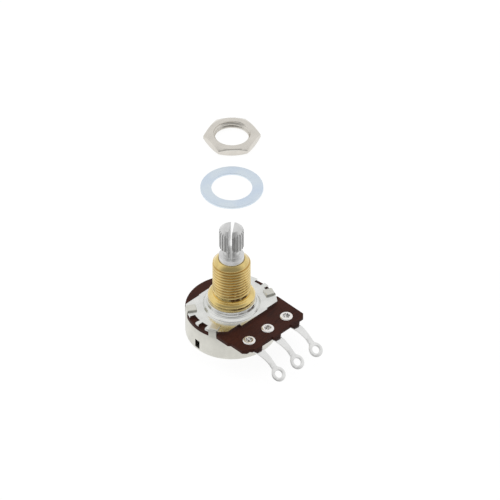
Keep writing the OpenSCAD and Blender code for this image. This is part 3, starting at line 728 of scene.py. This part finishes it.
class POT_OT_bushing(bpy.types.Operator):
    """Builds the turned brass bushing with its screw thread"""
    bl_idname = "pot.bushing"
    bl_label = "Threaded bushing"

    def execute(self, context):
        look = context.scene.bushing_look
        low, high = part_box("threaded_bushing")
        crest = MOUNTS["bushing_thread"]["dims"]["r_mm"] * MM
        root = crest - look.groove
        slope = (crest - look.nose) / look.nose_height
        thread_top = high.z - (root - look.nose) / slope
        edge, nick = 0.15 * MM, 0.05 * MM
        thread_foot = look.shoulder + look.relief
        under = low.z + look.lip_height
        wide, top = high.x, look.shoulder
        slope_in, slope_foot = wide - look.shoulder_slope, top - look.shoulder_slope
        profile = [
            (root, thread_top), (look.nose + nick, high.z - nick), (look.nose - nick, high.z),
            (look.bore + edge, high.z), (look.bore, high.z - edge), (look.bore, low.z),
            (look.lip - edge, low.z), (look.lip, low.z + edge), (look.lip, under), (look.spigot, under),
            (look.spigot, look.seat), (wide - edge / 2, look.seat), (wide, look.seat + edge / 2),
            (wide, slope_foot - edge / 2), (wide - edge / 3, slope_foot + edge / 3),
            (slope_in + edge / 3, top - edge / 3), (slope_in - edge / 2, top),
            (crest + edge, top), (crest + edge / 3, top + edge / 3), (crest, top + edge),
            (crest, top + 1.5 * edge), (crest, thread_foot - edge / 3), (crest, thread_foot)]
        segments = 128
        bushing = piece_of("brass_bushing", turned(profile, segments))
        # The thread given here paints shade into the brass in the thread's grooves.
        brass = turned_metal("turned_brass", look.tint, look.roughness, lacquer=look.lacquer,
                             thread=(root, crest, thread_foot, thread_top))
        turns = int((thread_top - thread_foot) / look.pitch) + 2
        thread_rule().apply(
            bushing, Root_Radius=root, Tooth=look.groove, Pitch=look.pitch, Bottom=thread_foot,
            Top=thread_top, Segments=segments, Turns=turns, Cone_Radius=look.nose, Cone_Height=high.z,
            Cone_Slope=slope, Run_Out=0.8 * look.pitch, Plain_Foot=1.0, Inside=False, Material=brass)
        crisp(bushing, 50)
        dress(bushing, brass, CASE, "brass", "threaded_bushing")
        return {"FINISHED"}


class POT_OT_board(bpy.types.Operator):
    """Builds the phenolic board that carries the terminals"""
    bl_idname = "pot.board"
    bl_label = "Terminal board"

    def execute(self, context):
        look = context.scene.board_look
        board = eased_copy("phenolic_board", "terminal_board", look.edge)
        brown = phenolic("brown_phenolic", look.tint, look.warm, look.roughness)
        dress(board, brown, CASE, "phenolic_board", "terminal_board")
        return {"FINISHED"}


def terminal_outline(look):
    """Outline of the flat strip before it is bent, from its rivet at the origin, and the Y of its eye."""
    bend_start = look.board_front + look.run - look.rivet_distance
    eye_y = -(bend_start + look.bend * look.slope + look.straight)
    half, neck = look.width / 2, look.neck / 2
    before, after, taper, fillet = 0.4 * MM, 0.6 * MM, 3.4 * MM, 0.9 * MM
    side = [(-half, -bend_start + before), (-half, -bend_start - after)]
    side += [(-half + (half - neck) * s, -bend_start - after - taper * s) for s in (0.25, 0.5, 0.75, 1.0)]
    meet = math.sqrt((look.eye + fillet) ** 2 - (neck + fillet) ** 2)
    toe = math.atan2(meet, neck + fillet)
    side += arc(-neck - fillet, eye_y + meet, fillet, 0.0, -toe, 6)
    lip = math.acos(half / look.pad)
    pad = arc(0.0, 0.0, look.pad, -lip, math.pi + lip, 20)
    eye = arc(0.0, eye_y, look.eye, math.pi - toe, 2 * math.pi + toe, 36)[1:-1]
    return pad + side + eye + [(-x, y) for x, y in reversed(side)], eye_y


def flat_blank(name, outline, holes, top, thickness, edge):
    """A flat sheet with rounded edges, cut across in short steps so that it can be bent.

    Its round holes are given as (x, y, radius).
    """
    curve = bpy.data.curves.new(name, "CURVE")
    curve.dimensions = "2D"
    curve.fill_mode = "BOTH"
    curve.extrude = thickness / 2 - edge
    curve.bevel_depth = edge
    curve.bevel_resolution = 2
    curve.offset = -edge
    for loop in [outline] + [circle(radius, 48, x, y) for x, y, radius in holes]:
        spline = curve.splines.new("POLY")
        spline.points.add(len(loop) - 1)
        for point, (x, y) in zip(spline.points, loop):
            point.co = (x, y, 0.0, 1.0)
        spline.use_cyclic_u = True
    drawn = piece_of(name, curve)
    graph = bpy.context.evaluated_depsgraph_get()
    mesh = bpy.data.meshes.new_from_object(drawn.evaluated_get(graph), depsgraph=graph)
    bpy.data.objects.remove(drawn)
    mesh.transform(Matrix.Translation((0.0, 0.0, top - thickness / 2)))
    bm = bmesh.new()
    bm.from_mesh(mesh)
    bmesh.ops.remove_doubles(bm, verts=bm.verts, dist=WELD)
    step = 0.3 * MM
    highest = max(v.co.y for v in bm.verts)
    y = min(v.co.y for v in bm.verts) + step
    while y < highest:
        everything = bm.verts[:] + bm.edges[:] + bm.faces[:]
        bmesh.ops.bisect_plane(bm, geom=everything, plane_co=(0.0, y, 0.0), plane_no=(0.0, 1.0, 0.0))
        y += step
    bmesh.ops.recalc_face_normals(bm, faces=bm.faces)
    bm.to_mesh(mesh)
    bm.free()
    return piece_of(name, mesh)


class POT_OT_terminals(bpy.types.Operator):
    """Builds the three solder terminals, each a flat strip that is bent down to its eye"""
    bl_idname = "pot.terminals"
    bl_label = "Terminals"

    def execute(self, context):
        look = context.scene.terminal_look
        rivet = context.scene.rivet_look
        bright = rolled_metal("bright_plating", look.tint, 0.16, grain=(2200.0, 80.0, 2200.0), wear=0.05)
        rule = bend_rule()
        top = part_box("terminal_board")[0].z
        outline, eye_y = terminal_outline(look)
        outline = [(x, y - look.rivet_distance) for x, y in outline]
        play, edge = 0.05 * MM, 0.06 * MM
        holes = [(0.0, -look.rivet_distance, rivet.shank + play),
                 (0.0, eye_y - look.rivet_distance, look.hole)]
        for i, side in enumerate(("left", "centre", "right")):
            strip = flat_blank("terminal_strip_" + side, outline, holes, top, look.thickness, edge)
            place = look.offset + (i - 1) * look.pitch
            rule.apply(strip, Start=look.board_front + look.run, Radius=look.bend, Slope=look.slope,
                       Top=top, Place=place, Material=bright)
            crisp(strip, 35)
            dress(strip, bright, CASE, "tinned_terminal", "terminal_" + side)
        return {"FINISHED"}


class POT_OT_rivets(bpy.types.Operator):
    """Builds the three rivets with their dented heads"""
    bl_idname = "pot.rivets"
    bl_label = "Rivets"

    def execute(self, context):
        look = context.scene.rivet_look
        row = context.scene.terminal_look
        low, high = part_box("rivet_centre")
        base = high.z - look.head_height
        under = low.z + look.foot_height
        r, h = look.head, look.head_height
        edge = 0.1 * MM
        head = [(1.0, 0.0), (1.0, 0.3), (0.985, 0.5), (0.94, 0.7), (0.87, 0.86), (0.79, 0.96), (0.7, 1.0),
                (0.62, 0.99), (0.55, 0.94), (0.48, 0.86), (0.41, 0.82)]
        head += [(a, 0.8) for a in (0.34, 0.27, 0.2, 0.13, 0.06, 0.0)]
        profile = [(0.0, low.z), (look.foot - edge, low.z), (look.foot, low.z + edge), (look.foot, under),
                   (look.shank, under), (look.shank, base)] + [(r * a, base + h * b) for a, b in head]
        metal = formed_metal("rivet_metal", look.tint)
        rule = rivet_rule()
        for i, side in enumerate(("left", "centre", "right")):
            rivet = piece_of("formed_rivet_" + side, turned(profile, 64))
            place = (row.offset + (i - 1) * row.pitch, -row.rivet_distance, 0.0)
            rule.apply(rivet, Place=place, Head_Base=base + 0.5 * h, Dent_Radius=0.62 * r, Dents=look.dents,
                       Seed=3.0 + 7.0 * i, Material=metal)
            crisp(rivet, 45)
            dress(rivet, metal, CASE, "rivet_metal", "rivet_" + side)
        return {"FINISHED"}


class POT_OT_shaft(bpy.types.Operator):
    """Builds the shaft with its splined and split end"""
    bl_idname = "pot.shaft"
    bl_label = "Shaft"

    def execute(self, context):
        look = context.scene.shaft_look
        low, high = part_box("shaft")
        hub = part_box("rotor")
        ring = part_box("retaining_ring")
        bottom = look.spline_base - look.taper
        edge, play, nick = 0.12 * MM, 0.05 * MM, 0.05 * MM
        foot, foot_edge, foot_top = 2.95 * MM, 0.15 * MM, low.z + 0.4 * MM
        tenon, groove = 2.3 * MM, 2.4 * MM
        groove_low, groove_high = ring[0].z - play, ring[1].z + play
        neck_top = look.neck_base + look.taper
        profile = [
            (0.0, low.z), (foot - foot_edge, low.z), (foot, low.z + foot_edge), (foot, foot_top),
            (tenon, foot_top), (tenon, hub[1].z), (look.radius, hub[1].z), (look.radius, groove_low),
            (groove, groove_low), (groove, groove_high), (look.radius, groove_high),
            (look.radius, look.neck_base - edge), (look.radius - edge / 3, look.neck_base - edge / 3),
            (look.radius - edge, look.neck_base), (look.neck + nick, neck_top - 0.6 * nick),
            (look.neck, neck_top + nick), (look.neck, bottom)]
        segments = look.splines * 12
        body = turned(profile, segments)
        bm = bmesh.new()
        bm.from_mesh(body)
        centre = bm.verts.new((0.0, 0.0, high.z))
        rim = [bm.verts.new((x, y, high.z)) for x, y in circle(look.face, segments)]
        for i in range(segments):
            bm.faces.new((rim[i], rim[(i + 1) % segments], centre))
        bm.to_mesh(body)
        bm.free()
        shaft = piece_of("splined_shaft", body)
        alloy = turned_metal("shaft_alloy", look.tint, look.roughness, shade=0.9)
        spline_rule().apply(
            shaft, Splines=look.splines, Crest_Radius=look.crest, Groove=look.groove, Bottom=bottom,
            Top=high.z, Neck_Radius=look.neck, Taper_Rise=2 * look.taper / (look.crest - look.neck),
            Face_Radius=look.face, Chamfer_Rise=look.chamfer / (look.crest - look.face),
            Slot_Width=look.slot, Slot_Turn=look.slot_turn, Slot_Bottom=neck_top, Material=alloy)
        crisp(shaft, 30)
        dress(shaft, alloy, SPINDLE, "shaft_alloy", "shaft")
        return {"FINISHED"}


class POT_OT_inside(bpy.types.Operator):
    """Gives the pieces inside the can their finishes"""
    bl_idname = "pot.inside"
    bl_label = "Inside pieces"

    def execute(self, context):
        look = context.scene.inside_look
        bronze = rolled_metal("contact_bronze", look.bronze, 0.28)
        finishes = {
            "collector_ring": bronze, "thrust_washer": bronze, "contact_spring": bronze,
            "resistive_track": moulded("carbon_film", look.carbon, 0.55, 4000.0),
            "rotor": moulded("moulded_rotor", look.rotor, 0.5),
            "retaining_ring": rolled_metal("spring_steel", look.steel, 0.32),
        }
        for node, material in finishes.items():
            NODES[node].data.materials.clear()
            NODES[node].data.materials.append(material)
        return {"FINISHED"}


class POT_OT_washer(bpy.types.Operator):
    """Builds the flat washer that lies loose behind the can"""
    bl_idname = "pot.washer"
    bl_label = "Flat washer"

    def execute(self, context):
        look = context.scene.loose_look
        low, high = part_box("flat_washer")
        centre = MOUNTS["washer_hole"]["pos_m"]
        inner = MOUNTS["washer_hole"]["dims"]["r_mm"] * MM
        outer = (high.x - low.x) / 2
        section = [(inner, low.z), (outer, low.z), (outer, high.z), (inner, high.z)]
        ring = turned(rounded(section, look.washer_edge), 160, closed=True)
        washer = piece_of("zinc_washer", ring)
        washer.data.transform(Matrix.Translation((centre[0], centre[1], 0.0)))
        crisp(washer, 40)
        dress(washer, zinc_plate("blue_zinc", look.zinc), CASE, "zinc_plate", "flat_washer")
        return {"FINISHED"}


class POT_OT_nut(bpy.types.Operator):
    """Builds the hex nut with its inside thread"""
    bl_idname = "pot.nut"
    bl_label = "Hex nut"

    def execute(self, context):
        look = context.scene.loose_look
        pitch = context.scene.bushing_look.pitch
        low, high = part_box("hex_nut")
        centre = Vector(MOUNTS["nut_thread"]["pos_m"])
        centre.z = 0.0
        nut = eased_copy("nickel_nut", "hex_nut", look.nut_edge)
        bm = bmesh.new()
        bm.from_mesh(nut.data)
        bm.transform(Matrix.Translation(-centre))
        spare = 0.3 * look.mouth
        inside = look.nut_minor + look.mouth + spare
        bore = [f for f in bm.faces if all(v.co.xy.length < inside for v in f.verts)]
        bmesh.ops.delete(bm, geom=bore, context="FACES")
        bm.to_mesh(nut.data)
        bm.free()
        nickel = turned_metal("bright_nickel", look.nickel, 0.16, axis=tuple(centre.xy), shade=0.92)
        turns = int((high.z - low.z) / pitch) + 2
        no_cone = {"Cone_Radius": 1.0, "Cone_Height": 0.0, "Cone_Slope": 0.0}
        thread_rule().apply(
            nut, Root_Radius=look.nut_major, Tooth=look.nut_minor - look.nut_major, Pitch=pitch,
            Bottom=low.z, Top=high.z, Segments=96, Turns=turns, Run_Out=0.5 * pitch, Plain_Foot=0.0,
            Inside=True, Material=nickel, **no_cone)
        nut.data.transform(Matrix.Translation(centre))
        crisp(nut, 30)
        dress(nut, nickel, CASE, "nickel_plate", "hex_nut")
        return {"FINISHED"}


# Stage


def area_lamp(name, place, size, power):
    """A soft lamp that shines at the can and isn't mirrored in the metal."""
    light = bpy.data.lights.new(name, "AREA")
    light.shape = "SQUARE"
    light.size = size
    light.energy = power
    lamp = piece_of(name, light)
    lamp.location = place
    lamp.visible_glossy = False
    aim = Vector((0.0, 0.0, 10 * MM))
    lamp.rotation_euler = (aim - place).to_track_quat("-Z", "Y").to_euler()


class POT_OT_stage(bpy.types.Operator):
    """Sets the pale floor, the soft lamps, the white surround and the camera"""
    bl_idname = "pot.stage"
    bl_label = "Stage"

    @staticmethod
    def seen(wiring):
        """One for rays that show a surface, straight or in a mirror, and zero for those that light it."""
        rays = wiring.add("ShaderNodeLightPath").outputs
        mirrored = wiring.most(rays["Is Glossy Ray"], rays["Is Transmission Ray"])
        return wiring.most(rays["Is Camera Ray"], mirrored)

    @staticmethod
    def lit(wiring, dim, shade, full, mirrored):
        """Full strength in the camera, and in a mirror less, down to the shade where the dim part shows."""
        camera = wiring.add("ShaderNodeLightPath").outputs["Is Camera Ray"]
        in_mirror = wiring.times(wiring.minus(1.0, wiring.times(dim, 1.0 - shade)), mirrored)
        return wiring.plus(in_mirror, wiring.times(camera, wiring.minus(full, in_mirror)))

    def execute(self, context):
        look = context.scene.stage_look
        half = look.floor / 2
        mesh = bpy.data.meshes.new("floor")
        corners = [(x * half, y * half, 0.0) for x, y in ((-1, -1), (1, -1), (1, 1), (-1, 1))]
        mesh.from_pydata(corners, [], [(0, 1, 2, 3)])
        floor = piece_of("floor", mesh)
        paper = Finish("white_paper", 0.0)
        paper.give("Base Color", (0.9, 0.9, 0.9))
        paper.give("Roughness", 0.9)
        paper.give("Specular IOR Level", 0.0)
        right = Vector((math.cos(look.azimuth), math.sin(look.azimuth), 0.0))
        level = Vector((math.sin(look.azimuth), -math.cos(look.azimuth), 0.0))
        back = level * math.cos(look.elevation) + Vector((0.0, 0.0, math.sin(look.elevation)))
        up = back.cross(right)
        x, y, _ = paper.split(paper.place)
        spread = paper.distance(x, y)
        tiny = 0.1 * MM
        ahead = paper.plus(paper.times(x, level.x), paper.times(y, level.y))
        side = paper.ramp(paper.over(ahead, paper.plus(spread, tiny)), 0.1, 0.8)
        dim = paper.times(side, paper.ramp(spread, look.shade_start, look.shade_end))
        dim = paper.times(dim, paper.ramp(spread, look.shade_limit, 0.7 * look.shade_limit))
        in_camera, in_mirror, glowing = 1.12, 1.04, 0.8
        bright = self.lit(paper, dim, look.shade, in_camera, in_mirror)
        glow = paper.add("ShaderNodeEmission", {"Strength": bright})
        share_of_glow = paper.times(self.seen(paper), glowing)
        mix = paper.add("ShaderNodeMixShader", (share_of_glow, paper.shader.outputs[0], glow.outputs[0]))
        paper.put(paper.tree.nodes["Material Output"].inputs["Surface"], mix.outputs[0])
        floor.data.materials.append(paper.material)

        world = bpy.data.worlds.new("white_surround")
        world.use_nodes = True
        context.scene.world = world
        w = Wiring(world.node_tree)
        background = world.node_tree.nodes["Background"]
        w.put(background.inputs["Color"], (1.0, 1.0, 1.0))
        x, y, z = w.split(w.add("ShaderNodeTexCoord").outputs["Generated"])
        ahead = w.plus(w.times(x, level.x), w.times(y, level.y))
        turn_rate, horizon, climb_rate = 2.4, 0.2, 3.0
        above = w.times(w.minus(z, horizon), climb_rate, clamp=True)
        dim = w.times(w.times(ahead, turn_rate, clamp=True), above)
        bright = self.lit(w, dim, look.sky_shade, 1.0, look.mirrored)
        shown = w.times(self.seen(w), w.minus(bright, look.fill))
        w.put(background.inputs["Strength"], w.plus(look.fill, shown))

        # Places aside, towards the camera and up, then the size and the power
        lamps = {"lamp_left": (-0.55, 0.1, 0.45, 0.35, 0.4), "lamp_right": (0.55, -0.1, 0.35, 0.3, 0.2),
                 "lamp_top": (0.0, -0.35, 0.8, 0.5, 0.6)}
        for name, (aside, nearer, height, size, power) in lamps.items():
            place = aside * right + nearer * back + Vector((0.0, 0.0, height))
            area_lamp(name, place, size, power * look.lamps)

        sensor = 36.0
        data = bpy.data.cameras.new("camera")
        data.sensor_width = sensor
        data.lens = sensor * look.distance / look.frame_width
        data.clip_end = 100.0
        camera = piece_of("camera", data)
        aim = right * look.aim_right + up * look.aim_up
        camera.location = aim + back * look.distance
        camera.rotation_euler = (-back).to_track_quat("-Z", "Y").to_euler()
        context.scene.camera = camera
        context.scene.view_settings.view_transform = "Standard"
        return {"FINISHED"}


STEPS = [POT_OT_can, POT_OT_plate, POT_OT_bushing, POT_OT_board, POT_OT_terminals, POT_OT_rivets,
         POT_OT_shaft, POT_OT_inside, POT_OT_washer, POT_OT_nut, POT_OT_stage]


class POT_PT_pieces(bpy.types.Panel):
    """Lists the pieces of the potentiometer with their settings"""
    bl_label = "Potentiometer"
    bl_space_type = "VIEW_3D"
    bl_region_type = "UI"
    bl_category = "Potentiometer"

    def draw(self, context):
        for step in STEPS:
            self.layout.operator(step.bl_idname, text=step.bl_label)
        for name, group in LOOKS.items():
            box = self.layout.box()
            box.label(text=name.replace("_", " ").capitalize())
            for key in group.__annotations__:
                box.prop(getattr(context.scene, name), key)


def register():
    for group in LOOKS.values():
        bpy.utils.register_class(group)
    for name, group in LOOKS.items():
        setattr(bpy.types.Scene, name, bpy.props.PointerProperty(type=group))
    for kind in (*STEPS, POT_PT_pieces):
        bpy.utils.register_class(kind)


def unregister():
    for kind in (POT_PT_pieces, *reversed(STEPS)):
        bpy.utils.unregister_class(kind)
    for name in LOOKS:
        delattr(bpy.types.Scene, name)
    for group in LOOKS.values():
        bpy.utils.unregister_class(group)


def main():
    register()
    for step in STEPS:
        group, call = step.bl_idname.split(".")
        getattr(getattr(bpy.ops, group), call)()


if __name__ == "__main__":
    main()
